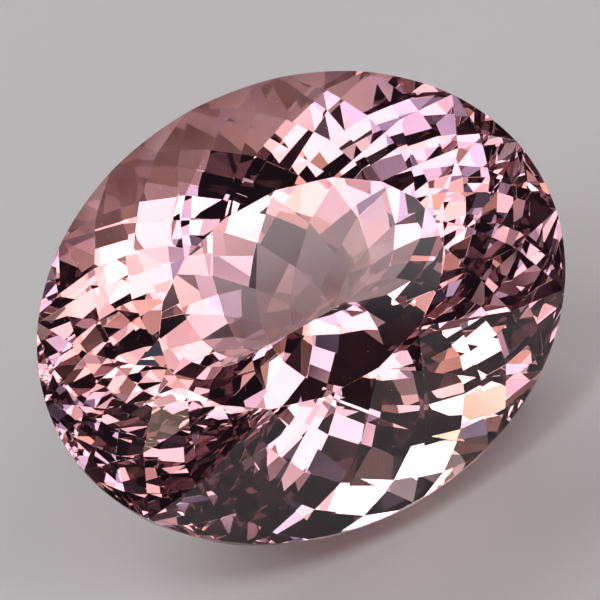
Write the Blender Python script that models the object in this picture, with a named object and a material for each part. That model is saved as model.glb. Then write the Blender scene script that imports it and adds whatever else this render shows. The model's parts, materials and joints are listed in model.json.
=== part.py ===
"""A cut oval kunzite gemstone, resting on one facet of its pavilion.

The stone is cut the way a lapidary cuts it. An upright oval prism is the rough preform. Each flat facet
takes one slice off it: the crown rows above the girdle, the pavilion rows below it, and the table on top.
The rows climb inwards like a fish scale net. A facet of each new row passes through the point where two
neighbours of the row before meet, so every corner of the net is sharp.

Metres, +Z up. While it is cut, the stone lies level with its girdle in the XY plane and its length along X.
It is then tipped about X until its rest facet lies flat on the ground.
"""

import math

import bmesh
import bpy
import numpy as np
from mathutils import Matrix, Vector

# Driving dimensions of the oval, in metres
LENGTH = 0.0260
WIDTH = 0.0216
GIRDLE_THICKNESS = 0.0008
CROWN_HEIGHT = 0.0035

# Facets in each row, and the slope of each row from the girdle plane in degrees, from the girdle inwards
FOLD = 18
CROWN_SLOPES = (36.0, 32.2, 29.2)
PAVILION_SLOPES = (60.0, 55.2, 50.5, 46.0, 42.1, 39.2, 36.4, 34.5, 32.9)

# The row of the pavilion that holds the facet the stone rests on
REST_ROW = 3

# The girdle is a smooth oval band: short flat pieces between two neighbouring girdle meets
GIRDLE_PIECES_PER_HALF_STEP = 4

# Points nearer to a cutting plane than this lie on it
ON_PLANE = 1e-7
# The preform stands this far past the finished stone above and below
PREFORM_SPARE = 0.004

KUNZITE_PINK = (0.86, 0.47, 0.53, 1.0)
KUNZITE_IOR = 1.67

TURN = 2.0 * math.pi
UP = np.array((0.0, 0.0, 1.0))


def clear_scene():
    for obj in list(bpy.data.objects):
        bpy.data.objects.remove(obj, do_unlink=True)


def girdle_point(angle, height):
    """The point of the girdle outline at an eccentric angle of the oval."""
    return np.array((LENGTH / 2 * math.cos(angle), WIDTH / 2 * math.sin(angle), height))


def facet_normal(angle, slope, side):
    """The outward normal of a facet that faces the outline's own normal at an angle; side is 1 up, -1 down."""
    across = np.array((math.cos(angle) / LENGTH, math.sin(angle) / WIDTH))
    across /= np.linalg.norm(across)
    tilt = math.radians(slope)
    return np.array((across[0] * math.sin(tilt), across[1] * math.sin(tilt), side * math.cos(tilt)))


def meet(planes):
    """The one point that three planes, each a normal and a distance, share."""
    normals = np.array([normal for normal, _ in planes])
    distances = np.array([distance for _, distance in planes])
    return np.linalg.solve(normals, distances)


def tips(rows):
    """Where two neighbours of the last row meet the facet of the row before that stands between them."""
    shift = len(rows) % 2
    return [
        meet((rows[-1][index - 1 + shift], rows[-1][(index + shift) % FOLD], rows[-2][index]))
        for index in range(FOLD)
    ]


def facet_rows(slopes, side):
    """The planes of each row, from the girdle inwards. Each row sits half a step round from the one before."""
    half_step = TURN / FOLD / 2
    edge_height = side * GIRDLE_THICKNESS / 2
    rows = []
    for row, slope in enumerate(slopes):
        angles = [(2 * index + row % 2) * half_step for index in range(FOLD)]
        if row == 0:
            points = [girdle_point(angle - half_step, edge_height) for angle in angles]
        elif row == 1:
            points = [girdle_point(angle, edge_height) for angle in angles]
        else:
            points = tips(rows)
        normals = [facet_normal(angle, slope, side) for angle in angles]
        rows.append([(normal, float(normal @ point)) for normal, point in zip(normals, points)])
    return rows


def star_row(rows, table_height):
    """The triangles round the table. Each joins two neighbouring table corners to the tip between them."""
    corners = []
    for (normal, distance), foot in zip(rows[-1], tips(rows[:-1])):
        sideways = np.cross(UP, normal)
        straight_up = (sideways, float(sideways @ foot))
        corners.append(meet(((normal, distance), (UP, table_height), straight_up)))
    stars = []
    for index, tip in enumerate(tips(rows)):
        normal = np.cross(corners[(index + 1) % FOLD] - tip, corners[index] - tip)
        normal /= np.linalg.norm(normal)
        stars.append((normal, float(normal @ tip)))
    return stars


def preform():
    """An upright oval prism, closed at both ends."""
    half_steps = 2 * FOLD
    mesh = bmesh.new()
    bmesh.ops.create_circle(
        mesh, cap_ends=True, radius=1.0, segments=half_steps * GIRDLE_PIECES_PER_HALF_STEP
    )
    bmesh.ops.scale(mesh, vec=(LENGTH / 2, WIDTH / 2, 1.0), verts=mesh.verts)
    bottom = -(WIDTH / 2 + PREFORM_SPARE)
    top = CROWN_HEIGHT + PREFORM_SPARE
    bmesh.ops.translate(mesh, vec=(0.0, 0.0, bottom), verts=mesh.verts)
    made = bmesh.ops.extrude_face_region(mesh, geom=list(mesh.faces))
    risen = [item for item in made["geom"] if isinstance(item, bmesh.types.BMVert)]
    bmesh.ops.translate(mesh, vec=(0.0, 0.0, top - bottom), verts=risen)
    bmesh.ops.recalc_face_normals(mesh, faces=mesh.faces)
    for face in mesh.faces:
        face.smooth = abs(face.normal.z) < 0.5
    return mesh


def cut_facet(mesh, normal, distance):
    """Slices off what lies outside a plane and closes the cut with one flat facet."""
    everything = list(mesh.verts) + list(mesh.edges) + list(mesh.faces)
    cut = bmesh.ops.bisect_plane(
        mesh,
        geom=everything,
        dist=ON_PLANE,
        plane_co=Vector(normal * distance),
        plane_no=Vector(normal),
        clear_outer=True,
    )
    rim = [item for item in cut["geom_cut"] if isinstance(item, bmesh.types.BMEdge) and item.is_boundary]
    if len(rim) < 3:
        return
    facet = bmesh.ops.edgeloop_fill(mesh, edges=rim)["faces"][0]
    facet.smooth = False
    if facet.normal.dot(Vector(normal)) < 0:
        facet.normal_flip()


def cut_stone():
    """The whole stone, level."""
    mesh = preform()
    table_height = GIRDLE_THICKNESS / 2 + CROWN_HEIGHT
    crown = facet_rows(CROWN_SLOPES, 1)
    crown.append(star_row(crown, table_height))
    pavilion = facet_rows(PAVILION_SLOPES, -1)
    for planes in crown + pavilion:
        for normal, distance in planes:
            cut_facet(mesh, normal, distance)
    cut_facet(mesh, UP, table_height)
    return mesh


def tip_onto_rest_facet(mesh):
    """Turns the stone about its length until its rest facet faces the ground, and centres it there."""
    mesh.transform(Matrix.Rotation(math.radians(PAVILION_SLOPES[REST_ROW]), 4, "X"))
    low = Vector(min(v.co[axis] for v in mesh.verts) for axis in range(3))
    high = Vector(max(v.co[axis] for v in mesh.verts) for axis in range(3))
    centre = (low + high) / 2
    bmesh.ops.translate(mesh, vec=(-centre.x, -centre.y, -low.z), verts=mesh.verts)


def kunzite_material():
    material = bpy.data.materials.new("kunzite")
    material.use_nodes = True
    shader = material.node_tree.nodes["Principled BSDF"]
    shader.inputs["Base Color"].default_value = KUNZITE_PINK
    shader.inputs["Metallic"].default_value = 0.0
    shader.inputs["Roughness"].default_value = 0.02
    shader.inputs["IOR"].default_value = KUNZITE_IOR
    shader.inputs["Transmission Weight"].default_value = 1.0
    return material


def main():
    clear_scene()
    stone = cut_stone()
    tip_onto_rest_facet(stone)
    data = bpy.data.meshes.new("kunzite")
    stone.to_mesh(data)
    stone.free()
    data.materials.append(kunzite_material())
    kunzite = bpy.data.objects.new("kunzite", data)
    bpy.context.scene.collection.objects.link(kunzite)


if __name__ == "__main__":
    main()
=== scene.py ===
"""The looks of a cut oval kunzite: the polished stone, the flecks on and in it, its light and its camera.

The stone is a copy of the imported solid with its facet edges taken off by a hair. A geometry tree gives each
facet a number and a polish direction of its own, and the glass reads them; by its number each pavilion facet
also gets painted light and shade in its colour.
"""

import json
import logging
import math
from collections.abc import Sequence
from dataclasses import dataclass
from enum import Enum
from typing import Any

import bmesh
import bpy
from mathutils import Matrix, Quaternion, Vector


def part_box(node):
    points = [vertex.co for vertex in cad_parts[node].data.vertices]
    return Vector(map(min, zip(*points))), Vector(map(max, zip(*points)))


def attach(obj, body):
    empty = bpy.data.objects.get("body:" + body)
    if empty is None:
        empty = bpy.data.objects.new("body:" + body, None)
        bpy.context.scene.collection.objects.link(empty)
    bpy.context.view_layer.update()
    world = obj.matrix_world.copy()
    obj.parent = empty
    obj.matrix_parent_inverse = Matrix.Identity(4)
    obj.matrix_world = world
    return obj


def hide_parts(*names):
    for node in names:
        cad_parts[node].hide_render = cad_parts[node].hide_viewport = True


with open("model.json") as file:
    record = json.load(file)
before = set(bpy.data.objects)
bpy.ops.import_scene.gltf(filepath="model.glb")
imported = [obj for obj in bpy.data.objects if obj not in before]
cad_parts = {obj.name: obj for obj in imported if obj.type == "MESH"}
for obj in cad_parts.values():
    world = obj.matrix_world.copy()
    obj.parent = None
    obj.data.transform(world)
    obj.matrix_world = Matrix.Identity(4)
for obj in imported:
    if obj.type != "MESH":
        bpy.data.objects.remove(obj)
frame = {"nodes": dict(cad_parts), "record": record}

LOG = logging.getLogger("kunzite")
STONE_NODE = "kunzite"
BODY = "root"
MILLIMETRE = 0.001

# The photograph is square, this many pixels a side
PICTURE_PIXELS = 600.0

# Corners that lie past this share of the oval's half length are its two ends
OVAL_END_SHARE = 0.9999

# Where a Random Value node keeps its two limits and its result, for each kind of value
RANDOM_SOCKETS = {"FLOAT": (2, 3, 1), "FLOAT_VECTOR": (0, 1, 0)}

# How often light may bounce inside the stone and off it, and the brightest a bounce may count
BOUNCES_INSIDE = 24
BOUNCES_OFF = 8
BRIGHTEST_BOUNCE = 10.0

Colour = tuple[float, float, float, float]


class Region(Enum):
    """Where on or in the stone a set of flecks lies."""

    ON_THE_CROWN = "on the crown"
    UNDER_THE_SURFACE = "under the surface"


@dataclass(frozen=True)
class StoneAxes:
    """The stone's own directions as it rests: along its length, across its width, and up out of its table."""

    length: Vector
    width: Vector
    up: Vector
    girdle_centre: Vector

    @classmethod
    def of_frame(cls, record: dict[str, Any], node: bpy.types.Object) -> "StoneAxes":
        """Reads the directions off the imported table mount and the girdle's middle off the node.

        Args:
            record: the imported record, whose table mount says which way the table faces.
            node: the CAD node of the stone.

        Returns:
            The stone's directions and the middle of its girdle, in metres.
        """
        table = next(mount for mount in record["mounts"] if mount["name"] == "table")
        up = Vector(table["axis"]).normalized()
        length = Vector((1.0, 0.0, 0.0))
        width = up.cross(length).normalized()
        low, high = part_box(node.name)
        reach = (high.x - low.x) / 2
        ends = [v.co for v in node.data.vertices if abs(v.co.x) > reach * OVAL_END_SHARE]
        level = sum(co.dot(up) for co in ends) / len(ends)
        across = sum(co.dot(width) for co in ends) / len(ends)
        return cls(length, width, up, width * across + up * level)


@dataclass(frozen=True)
class NodeTree:
    """A small helper that puts nodes in a tree and joins them."""

    tree: bpy.types.NodeTree

    def node(self, kind: str, inputs: dict[str, Any] | None = None, **settings: Any) -> bpy.types.Node:
        """Adds one node.

        Args:
            kind: the name of the node's type.
            inputs: input name or number to a plain value or to an output socket to join.
            **settings: properties of the node itself.

        Returns:
            The new node.
        """
        made = self.tree.nodes.new(kind)
        for name, value in settings.items():
            setattr(made, name, value)
        for name, value in (inputs or {}).items():
            socket = made.inputs[name]
            if isinstance(value, bpy.types.NodeSocket):
                self.tree.links.new(value, socket)
            else:
                socket.default_value = value
        return made

    def maths(self, operation: str, *values: Any) -> bpy.types.NodeSocket:
        """Adds a Math node and returns its output."""
        kind = "ShaderNodeMath"
        return self.node(kind, dict(enumerate(values)), operation=operation).outputs[0]

    def vector(self, operation: str, *values: Any) -> bpy.types.NodeSocket:
        """Adds a Vector Math node and returns its output: the value for a dot product, else the vector."""
        made = self.node("ShaderNodeVectorMath", dict(enumerate(values)), operation=operation)
        return made.outputs["Value" if operation == "DOT_PRODUCT" else "Vector"]

    def scaled(self, vector: Any, factor: Any) -> bpy.types.NodeSocket:
        """Adds a Vector Math node that scales a vector and returns its output."""
        inputs = {0: vector, "Scale": factor}
        return self.node("ShaderNodeVectorMath", inputs, operation="SCALE").outputs["Vector"]

    def chance(self, kind: str, low: Any, high: Any, seed: Any) -> bpy.types.NodeSocket:
        """Adds a Random Value node between two limits and returns its output."""
        first, second, result = RANDOM_SOCKETS[kind]
        inputs = {first: low, second: high, "Seed": seed}
        return self.node("FunctionNodeRandomValue", inputs, data_type=kind).outputs[result]

    def mix(self, factor: Any, first: Any, second: Any) -> bpy.types.NodeSocket:
        """Adds a colour Mix node and returns its output."""
        made = self.node("ShaderNodeMix", data_type="RGBA")
        for socket, value in (("Factor_Float", factor), ("A_Color", first), ("B_Color", second)):
            target = next(item for item in made.inputs if item.identifier == socket)
            if isinstance(value, bpy.types.NodeSocket):
                self.tree.links.new(value, target)
            else:
                target.default_value = value
        return next(item for item in made.outputs if item.identifier == "Result_Color")


def new_group(name: str, kind: str, sockets: Sequence[tuple[str, str, str, Any]]) -> NodeTree:
    """Makes an empty node group with named inputs and outputs.

    Args:
        name: the group's name.
        kind: the tree type, for shaders or for geometry.
        sockets: for each socket its name, IN or OUT, its type, and a default value or None.

    Returns:
        The group, wrapped in the helper.
    """
    group = bpy.data.node_groups.new(name, kind)
    for label, side, socket_type, default in sockets:
        socket = group.interface.new_socket(label, in_out=side + "PUT", socket_type=socket_type)
        if default is not None:
            socket.default_value = default
    return NodeTree(group)


class PolishGroup:
    """The shader group of what polishing leaves on a facet: faint parallel lines and a slight haze."""

    NAME = "polish_lines"
    # Coarseness of the worn patches, and the wear that even the best facet has
    PATCH_SCALE = 420.0
    LEAST_WEAR = 0.3

    @classmethod
    def get(cls) -> bpy.types.NodeTree:
        """Returns the group, made on first use."""
        return bpy.data.node_groups.get(cls.NAME) or cls._build()

    @classmethod
    def _build(cls) -> bpy.types.NodeTree:
        """Builds the group.

        Returns:
            A group with the inputs Position, Axis, Seed, Fineness, Stretch, Rough, Ground and Frost, and the
            outputs Lines and Haze.
        """
        number = "NodeSocketFloat"
        triple = "NodeSocketVector"
        group = new_group(
            cls.NAME,
            "ShaderNodeTree",
            (
                ("Position", "IN", triple, None),
                ("Axis", "IN", triple, None),
                ("Seed", "IN", number, 0.0),
                ("Fineness", "IN", number, 9000.0),
                ("Stretch", "IN", number, 0.04),
                ("Rough", "IN", number, 0.004),
                ("Ground", "IN", number, 0.0),
                ("Frost", "IN", number, 0.22),
                ("Lines", "OUT", number, None),
                ("Haze", "OUT", number, None),
            ),
        )
        given = group.node("NodeGroupInput").outputs
        across = group.vector("DOT_PRODUCT", given["Position"], given["Axis"])
        squeezed = group.scaled(given["Axis"], across)
        drawn_out = group.scaled(given["Position"], given["Stretch"])
        shift = group.node("ShaderNodeCombineXYZ", {0: given["Seed"], 1: given["Seed"]}).outputs[0]
        place = group.vector("ADD", group.vector("ADD", squeezed, drawn_out), shift)
        lines = group.node(
            "ShaderNodeTexNoise",
            {"Vector": place, "Scale": given["Fineness"], "Detail": 3.0, "Roughness": 0.6},
        ).outputs[0]
        patches = group.node(
            "ShaderNodeTexNoise", {"Vector": given["Position"], "Scale": cls.PATCH_SCALE, "Detail": 2.0}
        ).outputs[0]
        worn = group.maths("MULTIPLY", patches, given["Rough"])
        uneven = group.maths("MULTIPLY", worn, group.maths("ADD", given["Seed"], cls.LEAST_WEAR))
        frosted = group.maths("MULTIPLY", given["Ground"], given["Frost"])
        haze = group.maths("ADD", uneven, frosted)
        result = group.node("NodeGroupOutput").inputs
        group.tree.links.new(lines, result["Lines"])
        group.tree.links.new(haze, result["Haze"])
        return group.tree


class PaintedFacetLightGroup:
    """The shader group of the painted light and shade that differs from one pavilion facet to the next: each
    facet gets a tone of its own in place of what it would show of its surroundings.
    """

    NAME = "painted_facet_light"

    @classmethod
    def get(cls) -> bpy.types.NodeTree:
        """Returns the group, made on first use."""
        return bpy.data.node_groups.get(cls.NAME) or cls._build()

    @classmethod
    def _build(cls) -> bpy.types.NodeTree:
        """Builds the group.

        Returns:
            A group with the inputs Position, Seed, Grain, Spread and Drift and the output Place, which runs
            up and down between 0 and 1: each facet has a place of its own, and drifts a little across itself.
        """
        number = "NodeSocketFloat"
        group = new_group(
            cls.NAME,
            "ShaderNodeTree",
            (
                ("Position", "IN", "NodeSocketVector", None),
                ("Seed", "IN", number, 0.0),
                ("Grain", "IN", number, 320.0),
                ("Spread", "IN", number, 2.0),
                ("Drift", "IN", number, 0.5),
                ("Place", "OUT", number, None),
            ),
        )
        given = group.node("NodeGroupInput").outputs
        shift = group.node("ShaderNodeCombineXYZ", {0: given["Seed"], 2: given["Seed"]}).outputs[0]
        drift = group.node(
            "ShaderNodeTexNoise",
            {"Vector": group.vector("ADD", given["Position"], shift), "Scale": given["Grain"], "Detail": 0.0},
        ).outputs[0]
        own = group.maths("MULTIPLY", given["Seed"], given["Spread"])
        place = group.maths("PINGPONG", group.maths("MULTIPLY_ADD", drift, given["Drift"], own), 1.0)
        group.node("NodeGroupOutput", {"Place": place})
        return group.tree


@dataclass(frozen=True)
class KunziteFinish:
    """Clear pink stone, polished on its facets and finely ground on its girdle; its pavilion facets carry
    painted light and shade in their colour.
    """

    name: str = "kunzite"
    pale: Colour = (1.0, 0.93, 0.94, 1.0)
    deep: Colour = (0.98, 0.86, 0.89, 1.0)
    refractive_index: float = 1.67
    absorbed_through: Colour = (0.955, 0.63, 0.68, 1.0)
    absorption_per_metre: float = 48.0
    line_fineness: float = 9000.0
    line_height: float = 2.0e-8
    haze: float = 0.006
    zone_scale: float = 90.0
    # The painted light and shade of the pavilion facets, pale, tan, lilac and brown tones in place of what
    # each facet shows of its surroundings, spread evenly over the run of the painted facet light group
    painted_facet_light: tuple[Colour, ...] = (
        (1.0, 1.0, 0.97, 1.0),
        (0.82, 0.62, 0.47, 1.0),
        (0.93, 0.86, 1.0, 1.0),
        (0.52, 0.31, 0.26, 1.0),
        (1.0, 0.93, 0.84, 1.0),
        (0.84, 0.66, 0.62, 1.0),
    )

    def make(self) -> bpy.types.Material:
        """Builds the material.

        Returns:
            A Principled glass with plain transmission, index and absorption values; its colour follows the
            stone's own zones on the crown and painted light and shade on the pavilion facets, and its
            roughness and normal follow its polish.
        """
        material = bpy.data.materials.new(self.name)
        material.use_nodes = True
        tree = NodeTree(material.node_tree)
        material.node_tree.nodes.clear()
        position = tree.node("ShaderNodeTexCoord").outputs["Object"]
        axis = tree.node("ShaderNodeAttribute", attribute_name="polish_axis").outputs["Vector"]
        seed = tree.node("ShaderNodeAttribute", attribute_name="facet_seed").outputs["Fac"]
        ground = tree.node("ShaderNodeAttribute", attribute_name="ground").outputs["Fac"]
        polish = tree.node("ShaderNodeGroup", node_tree=PolishGroup.get())
        tree.tree.links.new(position, polish.inputs["Position"])
        tree.tree.links.new(axis, polish.inputs["Axis"])
        tree.tree.links.new(seed, polish.inputs["Seed"])
        tree.tree.links.new(ground, polish.inputs["Ground"])
        polish.inputs["Fineness"].default_value = self.line_fineness
        polish.inputs["Rough"].default_value = self.haze
        zones = tree.node(
            "ShaderNodeTexNoise", {"Vector": position, "Scale": self.zone_scale, "Detail": 1.0}
        ).outputs[0]
        crown_tone = tree.mix(zones, self.pale, self.deep)
        below = tree.node("ShaderNodeAttribute", attribute_name="below_girdle").outputs["Fac"]
        # Below the girdle the colour carries painted light and shade, a tone for each pavilion facet.
        tone = tree.mix(below, crown_tone, self._painted_pavilion_light(tree, position, seed))
        bump = tree.node(
            "ShaderNodeBump",
            {"Height": polish.outputs["Lines"], "Strength": 1.0, "Distance": self.line_height},
        ).outputs["Normal"]
        shader = tree.node(
            "ShaderNodeBsdfPrincipled",
            {
                "Base Color": tone,
                "Roughness": polish.outputs["Haze"],
                "Normal": bump,
                "IOR": self.refractive_index,
                "Transmission Weight": 1.0,
                "Metallic": 0.0,
            },
        ).outputs[0]
        body = tree.node(
            "ShaderNodeVolumeAbsorption",
            {"Color": self.absorbed_through, "Density": self.absorption_per_metre},
        ).outputs[0]
        tree.node("ShaderNodeOutputMaterial", {"Surface": shader, "Volume": body})
        return material

    def _painted_pavilion_light(
        self, tree: NodeTree, position: bpy.types.NodeSocket, seed: bpy.types.NodeSocket
    ) -> bpy.types.NodeSocket:
        """Picks each pavilion facet's painted light and shade, a tone of its own in place of what it shows of
        its surroundings.

        Args:
            tree: the material's tree.
            position: the object coordinates.
            seed: the number of its own that each facet carries.

        Returns:
            The colour output of the painted light and shade.
        """
        group = tree.node("ShaderNodeGroup", node_tree=PaintedFacetLightGroup.get())
        tree.tree.links.new(position, group.inputs["Position"])
        tree.tree.links.new(seed, group.inputs["Seed"])
        ramp = tree.node("ShaderNodeValToRGB", {"Fac": group.outputs["Place"]})
        stops = ramp.color_ramp.elements
        stops[0].color, stops[1].color = self.painted_facet_light[0], self.painted_facet_light[-1]
        last = len(self.painted_facet_light) - 1
        for index in range(1, last):
            stops.new(index / last).color = self.painted_facet_light[index]
        return ramp.outputs["Color"]


@dataclass(frozen=True)
class FleckFinish:
    """The dry surface of a speck of dust or of a tiny mineral grain."""

    name: str
    dark: Colour
    light: Colour
    roughness: float
    mottle_scale: float = 20000.0

    def make(self) -> bpy.types.Material:
        """Builds the material: a mottled, matt Principled surface."""
        material = bpy.data.materials.new(self.name)
        material.use_nodes = True
        tree = NodeTree(material.node_tree)
        material.node_tree.nodes.clear()
        position = tree.node("ShaderNodeTexCoord").outputs["Object"]
        mottle = tree.node(
            "ShaderNodeTexNoise", {"Vector": position, "Scale": self.mottle_scale, "Detail": 2.0}
        ).outputs[0]
        colour = tree.mix(mottle, self.dark, self.light)
        shader = tree.node(
            "ShaderNodeBsdfPrincipled", {"Base Color": colour, "Roughness": self.roughness}
        ).outputs[0]
        tree.node("ShaderNodeOutputMaterial", {"Surface": shader})
        return material


@dataclass(frozen=True)
class FloorFinish:
    """A plain pale matt floor with a barely uneven tone."""

    name: str = "pale_floor"
    light: Colour = (0.83, 0.83, 0.84, 1.0)
    dark: Colour = (0.80, 0.80, 0.81, 1.0)
    roughness: float = 0.7
    mottle_scale: float = 30.0

    def make(self) -> bpy.types.Material:
        """Builds the material."""
        return FleckFinish(self.name, self.dark, self.light, self.roughness, self.mottle_scale).make()


def bake_nodes(piece: bpy.types.Object, tree: bpy.types.NodeTree, values: dict[str, Any]) -> bpy.types.Object:
    """Runs a geometry tree on an object and keeps the result as a plain mesh.

    Args:
        piece: the object whose mesh the tree starts from; it is removed.
        tree: the geometry node group.
        values: input name to value.

    Returns:
        A new object of the same name with the finished mesh and no modifier.
    """
    modifier = piece.modifiers.new("rule", "NODES")
    modifier.node_group = tree
    identifiers = {
        item.name: item.identifier for item in tree.interface.items_tree if item.in_out == "INPUT"
    }
    for name, value in values.items():
        modifier[identifiers[name]] = value
    evaluated = piece.evaluated_get(bpy.context.evaluated_depsgraph_get())
    mesh = bpy.data.meshes.new_from_object(evaluated, depsgraph=bpy.context.evaluated_depsgraph_get())
    name = piece.name
    piece.modifiers.remove(modifier)
    bpy.data.objects.remove(piece, do_unlink=True)
    mesh.name = name
    finished = bpy.data.objects.new(name, mesh)
    bpy.context.scene.collection.objects.link(finished)
    return finished


@dataclass
class CutStone:
    """The stone itself: the CAD solid with its facet edges taken off by a hair."""

    axes: StoneAxes
    node: bpy.types.Object
    finish: KunziteFinish
    name: str = "cut_stone"
    edge_width: float = 0.012 * MILLIMETRE
    same_point: float = 0.001 * MILLIMETRE
    flat_within: float = math.radians(0.2)
    # A face whose normal rises less than this belongs to the girdle band
    upright_within: float = 0.02
    seed: int = 7

    def make(self) -> bpy.types.Object:
        """Builds and dresses the stone.

        Returns:
            The finished piece, which stands for the CAD node.
        """
        piece = self._softened_copy()
        piece = bake_nodes(
            piece,
            self._facet_tree(),
            {
                "Stone Up": self.axes.up,
                "Upright": self.upright_within,
                "Seed": self.seed,
                "Finish": self.finish.make(),
            },
        )
        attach(piece, BODY)
        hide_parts(STONE_NODE)
        LOG.info("%s: %d faces", piece.name, len(piece.data.polygons))
        return piece

    def _softened_copy(self) -> bpy.types.Object:
        """Merges a copy of the CAD mesh into whole facets and bevels their edges.

        Returns:
            A new object with the softened mesh.
        """
        mesh = bmesh.new()
        mesh.from_mesh(self.node.data)
        bmesh.ops.remove_doubles(mesh, verts=mesh.verts, dist=self.same_point)
        bmesh.ops.dissolve_limit(
            mesh,
            angle_limit=self.flat_within,
            verts=mesh.verts,
            edges=mesh.edges,
            use_dissolve_boundaries=False,
        )
        sharp = [edge for edge in mesh.edges if not self._within_girdle(edge)]
        bmesh.ops.bevel(
            mesh,
            geom=sharp,
            offset=self.edge_width,
            segments=1,
            profile=0.5,
            affect="EDGES",
            clamp_overlap=True,
        )
        for face in mesh.faces:
            face.smooth = self._is_girdle(face)
        data = bpy.data.meshes.new(self.name)
        mesh.to_mesh(data)
        mesh.free()
        piece = bpy.data.objects.new(self.name, data)
        bpy.context.scene.collection.objects.link(piece)
        return piece

    def _is_girdle(self, face: bmesh.types.BMFace) -> bool:
        """Tells whether a face belongs to the upright girdle band."""
        return abs(face.normal.dot(self.axes.up)) < self.upright_within

    def _within_girdle(self, edge: bmesh.types.BMEdge) -> bool:
        """Tells whether an edge lies between two faces of the girdle band."""
        return all(self._is_girdle(face) for face in edge.link_faces)

    def _facet_tree(self) -> bpy.types.NodeTree:
        """Builds the rule that gives each facet its own polish.

        Returns:
            A geometry tree that stores on each face a seed, a polish direction, whether it belongs to the
            ground girdle and whether it lies below it.
        """
        tree = new_group(
            "facet_polish",
            "GeometryNodeTree",
            (
                ("Geometry", "IN", "NodeSocketGeometry", None),
                ("Stone Up", "IN", "NodeSocketVector", None),
                ("Upright", "IN", "NodeSocketFloat", 0.0),
                ("Seed", "IN", "NodeSocketInt", 0),
                ("Finish", "IN", "NodeSocketMaterial", None),
                ("Geometry", "OUT", "NodeSocketGeometry", None),
            ),
        )
        given = tree.node("NodeGroupInput").outputs
        normal = tree.node("GeometryNodeInputNormal").outputs[0]
        own_number = tree.chance("FLOAT", 0.0, 1.0, given["Seed"])
        wild = tree.chance("FLOAT_VECTOR", (-1.0, -1.0, -1.0), (1.0, 1.0, 1.0), given["Seed"])
        axis = tree.vector("NORMALIZE", tree.vector("CROSS_PRODUCT", normal, wild))
        rise = tree.vector("DOT_PRODUCT", normal, given["Stone Up"])
        ground = tree.maths("LESS_THAN", tree.maths("ABSOLUTE", rise), given["Upright"])
        below = tree.maths("LESS_THAN", tree.maths("ADD", rise, given["Upright"]), 0.0)
        geometry = given["Geometry"]
        for label, kind, value in (
            ("facet_seed", "FLOAT", own_number),
            ("polish_axis", "FLOAT_VECTOR", axis),
            ("ground", "FLOAT", ground),
            ("below_girdle", "FLOAT", below),
        ):
            geometry = tree.node(
                "GeometryNodeStoreNamedAttribute",
                {"Geometry": geometry, "Name": label, "Value": value},
                data_type=kind,
                domain="FACE",
            ).outputs[0]
        whole = tree.node("GeometryNodeRealizeInstances", {"Geometry": geometry}).outputs[0]
        dressed = tree.node(
            "GeometryNodeSetMaterial", {"Geometry": whole, "Material": given["Finish"]}
        ).outputs[0]
        tree.node("NodeGroupOutput", {"Geometry": dressed})
        return tree.tree


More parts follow.
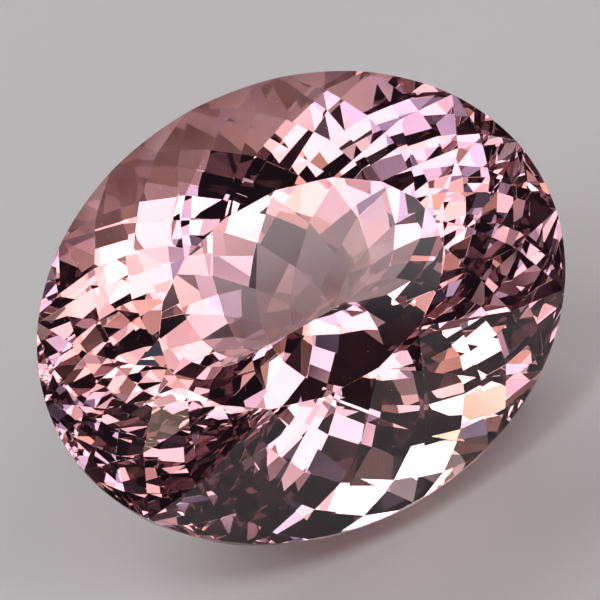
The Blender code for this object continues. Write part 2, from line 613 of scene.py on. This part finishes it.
@dataclass
class Flecks:
    """A scatter of tiny flecks that follows the stone's surface, on it or under it."""

    RULE = "scattered_flecks"

    axes: StoneAxes
    node: bpy.types.Object
    finish: FleckFinish
    name: str
    region: Region
    per_square_metre: float
    size: tuple[float, float]
    depth: tuple[float, float]
    seed: int
    # A face whose normal rises more than this belongs to the crown or the table
    crown_rise: float = 0.5
    flattest: tuple[float, float, float] = (0.4, 0.4, 0.3)
    longest: tuple[float, float, float] = (1.0, 1.6, 0.8)

    def make(self) -> bpy.types.Object:
        """Builds the flecks.

        Returns:
            One plain mesh of all the flecks.
        """
        mesh = self.node.data.copy()
        mesh.name = self.name
        host = bpy.data.objects.new(self.name, mesh)
        bpy.context.scene.collection.objects.link(host)
        piece = bake_nodes(
            host,
            bpy.data.node_groups.get(self.RULE) or self._tree(),
            {
                "Stone Up": self.axes.up,
                "Least Rise": self.crown_rise if self.region is Region.ON_THE_CROWN else -1.0,
                "Flattest": self.flattest,
                "Longest": self.longest,
                "Density": self.per_square_metre,
                "Smallest": self.size[0],
                "Largest": self.size[1],
                "Shallowest": self.depth[0],
                "Deepest": self.depth[1],
                "Seed": self.seed,
                "Finish": self.finish.make(),
            },
        )
        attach(piece, BODY)
        LOG.info("%s: %d faces %s", piece.name, len(piece.data.polygons), self.region.value)
        return piece

    @classmethod
    def _tree(cls) -> bpy.types.NodeTree:
        """Builds the rule of the scatter, which all flecks share.

        Returns:
            A geometry tree that sets small rough grains on points of the surface.
        """
        number = "NodeSocketFloat"
        tree = new_group(
            cls.RULE,
            "GeometryNodeTree",
            (
                ("Geometry", "IN", "NodeSocketGeometry", None),
                ("Stone Up", "IN", "NodeSocketVector", None),
                ("Least Rise", "IN", number, 0.0),
                ("Density", "IN", number, 1.0),
                ("Smallest", "IN", number, 0.0),
                ("Largest", "IN", number, 0.0),
                ("Shallowest", "IN", number, 0.0),
                ("Deepest", "IN", number, 0.0),
                ("Flattest", "IN", "NodeSocketVector", None),
                ("Longest", "IN", "NodeSocketVector", None),
                ("Seed", "IN", "NodeSocketInt", 0),
                ("Finish", "IN", "NodeSocketMaterial", None),
                ("Geometry", "OUT", "NodeSocketGeometry", None),
            ),
        )
        given = tree.node("NodeGroupInput").outputs
        normal = tree.node("GeometryNodeInputNormal").outputs[0]
        rise = tree.vector("DOT_PRODUCT", normal, given["Stone Up"])
        facing = tree.maths("GREATER_THAN", rise, given["Least Rise"])
        scattered = tree.node(
            "GeometryNodeDistributePointsOnFaces",
            {
                "Mesh": given["Geometry"],
                "Selection": facing,
                "Density": given["Density"],
                "Seed": given["Seed"],
            },
            distribute_method="RANDOM",
        )
        depth = tree.chance("FLOAT", given["Shallowest"], given["Deepest"], given["Seed"])
        inwards = tree.scaled(scattered.outputs["Normal"], tree.maths("MULTIPLY", depth, -1.0))
        sunk = tree.node(
            "GeometryNodeSetPosition", {"Geometry": scattered.outputs["Points"], "Offset": inwards}
        ).outputs[0]
        grain = tree.node("GeometryNodeMeshIcoSphere", {"Radius": 1.0, "Subdivisions": 1}).outputs["Mesh"]
        size = tree.chance("FLOAT", given["Smallest"], given["Largest"], given["Seed"])
        shape = tree.chance("FLOAT_VECTOR", given["Flattest"], given["Longest"], given["Seed"])
        scale = tree.scaled(shape, size)
        placed = tree.node(
            "GeometryNodeInstanceOnPoints",
            {
                "Points": sunk,
                "Instance": grain,
                "Rotation": scattered.outputs["Rotation"],
                "Scale": scale,
            },
        ).outputs[0]
        whole = tree.node("GeometryNodeRealizeInstances", {"Geometry": placed}).outputs[0]
        dressed = tree.node(
            "GeometryNodeSetMaterial", {"Geometry": whole, "Material": given["Finish"]}
        ).outputs[0]
        tree.node("NodeGroupOutput", {"Geometry": dressed})
        return tree.tree


@dataclass(frozen=True)
class SoftGlow:
    """How a softbox glows: brightest in its middle, fading to its rim, a little cooler on one side."""

    cool: Colour = (0.62, 0.70, 1.0, 1.0)
    plain: Colour = (1.0, 0.985, 0.97, 1.0)
    warm: Colour = (1.0, 0.74, 0.56, 1.0)
    full_within: float = 0.45
    slant: float = 0.35
    # Where along the box the cool end stops, the plain middle starts and ends, and the warm end begins
    cool_end: float = 0.12
    plain_from: float = 0.38
    plain_to: float = 0.6
    warm_from: float = 0.88

    def dress(self, light: bpy.types.AreaLight) -> None:
        """Gives a light its glow.

        Args:
            light: the area light; its power stays its own.
        """
        light.use_nodes = True
        light.node_tree.nodes.clear()
        tree = NodeTree(light.node_tree)
        place = tree.node("ShaderNodeNewGeometry").outputs["Parametric"]
        split = tree.node("ShaderNodeSeparateXYZ", {0: place}).outputs
        sides = []
        for axis in ("X", "Y"):
            off_middle = tree.maths("ABSOLUTE", tree.maths("SUBTRACT", split[axis], 0.5))
            sides.append(
                tree.node(
                    "ShaderNodeMapRange",
                    {"Value": off_middle, 1: self.full_within / 2, 2: 0.5, 3: 1.0, 4: 0.0},
                    interpolation_type="SMOOTHSTEP",
                ).outputs[0]
            )
        fade = tree.maths("MULTIPLY", sides[0], sides[1])
        off_centre = tree.maths("SUBTRACT", split["Y"], 0.5)
        leaning = tree.maths("MULTIPLY_ADD", off_centre, self.slant, split["X"])
        ramp = tree.node("ShaderNodeValToRGB", {"Fac": leaning})
        stops = ramp.color_ramp.elements
        stops[0].position, stops[0].color = self.cool_end, self.cool
        stops[1].position, stops[1].color = self.warm_from, self.warm
        for position in (self.plain_from, self.plain_to):
            stops.new(position).color = self.plain
        shine = tree.node("ShaderNodeEmission", {"Color": ramp.outputs["Color"], "Strength": fade}).outputs[0]
        tree.node("ShaderNodeOutputLight", {"Surface": shine})


WARM_GLOW = SoftGlow(
    cool=(0.95, 0.90, 1.0, 1.0),
    plain=(1.0, 0.91, 0.83, 1.0),
    warm=(1.0, 0.68, 0.48, 1.0),
)
VEIL_GLOW = SoftGlow(
    cool=(0.86, 0.86, 1.0, 1.0),
    plain=(0.97, 0.92, 1.0, 1.0),
    warm=(1.0, 0.9, 0.9, 1.0),
    full_within=0.8,
)


@dataclass(frozen=True)
class Softbox:
    """One rectangular softbox, placed on a sphere round the stone and turned to face it."""

    name: str
    azimuth: float
    elevation: float
    size: tuple[float, float]
    brightness: float
    glow: SoftGlow = SoftGlow()
    roll: float = 0.0
    distance: float = 1.5

    def make(self, target: Vector) -> bpy.types.Object:
        """Builds the light.

        Args:
            target: the point that it faces.

        Returns:
            The light's object.
        """
        light = bpy.data.lights.new(self.name, "AREA")
        light.shape = "RECTANGLE"
        light.size, light.size_y = self.size
        light.energy = self.brightness * math.pi * light.size * light.size_y
        self.glow.dress(light)
        around = math.radians(self.azimuth)
        above = math.radians(self.elevation)
        back = Vector(
            (math.sin(around) * math.cos(above), -math.cos(around) * math.cos(above), math.sin(above))
        )
        lamp = bpy.data.objects.new(self.name, light)
        lamp.location = target + back * self.distance
        facing = back.to_track_quat("Z", "Y") @ Quaternion((0.0, 0.0, 1.0), math.radians(self.roll))
        lamp.rotation_euler = facing.to_euler()
        lamp.visible_camera = False
        bpy.context.scene.collection.objects.link(lamp)
        return lamp


@dataclass
class Studio:
    """The plain pale floor, the softboxes and the dim air round them."""

    target: Vector
    floor_size: float = 16.0
    floor_squares: int = 8
    floor_gap: float = 0.01 * MILLIMETRE
    air: tuple[float, float, float] = (0.010, 0.009, 0.012)
    boxes: tuple[Softbox, ...] = (
        Softbox("overhead", 315.0, 77.0, (0.72, 0.72), 2.3),
        Softbox("back_low", 180.0, 32.0, (1.50, 0.80), 3.5),
        Softbox("back_left", 225.0, 33.0, (0.80, 0.70), 2.6),
        Softbox("back_right", 146.0, 27.0, (0.80, 0.60), 2.2),
        Softbox("front_right", 43.0, 43.0, (0.72, 1.00), 2.1),
        Softbox("right_high", 64.0, 56.0, (0.55, 0.60), 1.8, WARM_GLOW),
        Softbox("left_high", 300.0, 55.0, (0.90, 0.90), 2.1),
        Softbox("left_low", 302.5, 18.0, (0.40, 0.55), 3.3, WARM_GLOW),
        Softbox("front_low", 0.0, 25.0, (0.80, 0.50), 1.6),
        Softbox("front_high", 4.0, 63.0, (0.55, 0.50), 1.4),
        Softbox("table_veil", 14.0, 55.5, (0.60, 0.26), 1.6, VEIL_GLOW, roll=-42.0),
    )

    def make(self) -> None:
        """Builds the floor, the lights and the world."""
        self._floor()
        for box in self.boxes:
            box.make(self.target)
        self._world()
        LOG.info("studio: %d softboxes", len(self.boxes))

    def _floor(self) -> None:
        """Lays the floor just under the stone."""
        mesh = bmesh.new()
        squares = self.floor_squares
        bmesh.ops.create_grid(mesh, x_segments=squares, y_segments=squares, size=self.floor_size / 2)
        bmesh.ops.translate(mesh, vec=(0.0, 0.0, -self.floor_gap), verts=mesh.verts)
        data = bpy.data.meshes.new("floor")
        mesh.to_mesh(data)
        mesh.free()
        data.materials.append(FloorFinish().make())
        floor = bpy.data.objects.new("floor", data)
        bpy.context.scene.collection.objects.link(floor)

    def _world(self) -> None:
        """Gives the air an even dim light."""
        world = bpy.data.worlds.new("studio_air")
        world.use_nodes = True
        world.node_tree.nodes["Background"].inputs["Color"].default_value = (*self.air, 1.0)
        bpy.context.scene.world = world


@dataclass
class PhotoCamera:
    """The camera at the photograph's angle, looking almost straight at the table with the oval turned."""

    axes: StoneAxes
    # The girdle oval as it shows in the photograph
    centre_pixel: tuple[float, float] = (301.3, 307.0)
    half_length_pixels: float = 274.6
    # How far the camera leans off the table's normal, and how far the oval's length is turned
    lean: float = math.radians(10.0)
    turn: float = math.radians(29.3)
    distance: float = 0.45
    sensor: float = 36.0

    def make(self) -> bpy.types.Object:
        """Places the camera and makes it the scene's own.

        Returns:
            The camera's object.
        """
        low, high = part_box(STONE_NODE)
        pixel = (high.x - low.x) / 2 / self.half_length_pixels
        length, width, up = self.axes.length, self.axes.width, self.axes.up
        rising = math.sin(self.turn) * length + math.cos(self.turn) * width
        right = math.cos(self.turn) * length - math.sin(self.turn) * width
        back = math.cos(self.lean) * up - math.sin(self.lean) * rising
        top = math.cos(self.lean) * rising + math.sin(self.lean) * up
        middle = PICTURE_PIXELS / 2
        across = (self.centre_pixel[0] - middle) * pixel
        down = (self.centre_pixel[1] - middle) * pixel
        aim = self.axes.girdle_centre - right * across + top * down
        place = Matrix((right, top, back)).transposed().to_4x4()
        place.translation = aim + back * self.distance
        data = bpy.data.cameras.new("photo_camera")
        data.sensor_width = self.sensor
        data.lens = self.sensor / 2 / (middle * pixel / self.distance)
        data.clip_start = MILLIMETRE
        camera = bpy.data.objects.new("photo_camera", data)
        camera.matrix_world = place
        bpy.context.scene.collection.objects.link(camera)
        bpy.context.scene.camera = camera
        return camera


def the_flecks(axes: StoneAxes, node: bpy.types.Object) -> list[Flecks]:
    """Lists the dust on the crown, the dark grit among it and the few grains inside the stone."""
    return [
        Flecks(
            axes,
            node,
            FleckFinish("pale_dust", (0.55, 0.52, 0.52, 1.0), (0.95, 0.93, 0.93, 1.0), 0.8),
            "dust",
            Region.ON_THE_CROWN,
            per_square_metre=2.6e5,
            size=(0.010 * MILLIMETRE, 0.027 * MILLIMETRE),
            depth=(-0.01 * MILLIMETRE, 0.0),
            seed=3,
        ),
        Flecks(
            axes,
            node,
            FleckFinish("dark_grit", (0.03, 0.02, 0.02, 1.0), (0.12, 0.08, 0.07, 1.0), 0.7),
            "grit",
            Region.ON_THE_CROWN,
            per_square_metre=8.0e4,
            size=(0.012 * MILLIMETRE, 0.024 * MILLIMETRE),
            depth=(-0.005 * MILLIMETRE, 0.0),
            seed=11,
        ),
        Flecks(
            axes,
            node,
            FleckFinish("inner_grain", (0.20, 0.12, 0.11, 1.0), (0.60, 0.45, 0.42, 1.0), 0.5),
            "inner_grains",
            Region.UNDER_THE_SURFACE,
            per_square_metre=1.5e4,
            size=(0.010 * MILLIMETRE, 0.020 * MILLIMETRE),
            depth=(0.2 * MILLIMETRE, 2.4 * MILLIMETRE),
            seed=5,
        ),
    ]


def set_light_paths(scene: bpy.types.Scene) -> None:
    """Lets light bounce often enough inside the stone, and shows plain tones."""
    scene.cycles.max_bounces = BOUNCES_INSIDE
    scene.cycles.transmission_bounces = BOUNCES_INSIDE
    scene.cycles.glossy_bounces = BOUNCES_OFF
    scene.cycles.sample_clamp_indirect = BRIGHTEST_BOUNCE
    scene.view_settings.view_transform = "Standard"


def main() -> None:
    """Builds every piece in order and reports it."""
    logging.basicConfig(level=logging.INFO, format="%(name)s: %(message)s")
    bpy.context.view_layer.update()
    node = frame["nodes"][STONE_NODE]
    axes = StoneAxes.of_frame(frame["record"], node)
    PhotoCamera(axes).make()
    for flecks in the_flecks(axes, node):
        flecks.make()
    CutStone(axes, node, KunziteFinish()).make()
    Studio(axes.girdle_centre).make()
    set_light_paths(bpy.context.scene)


if __name__ == "__main__":
    main()
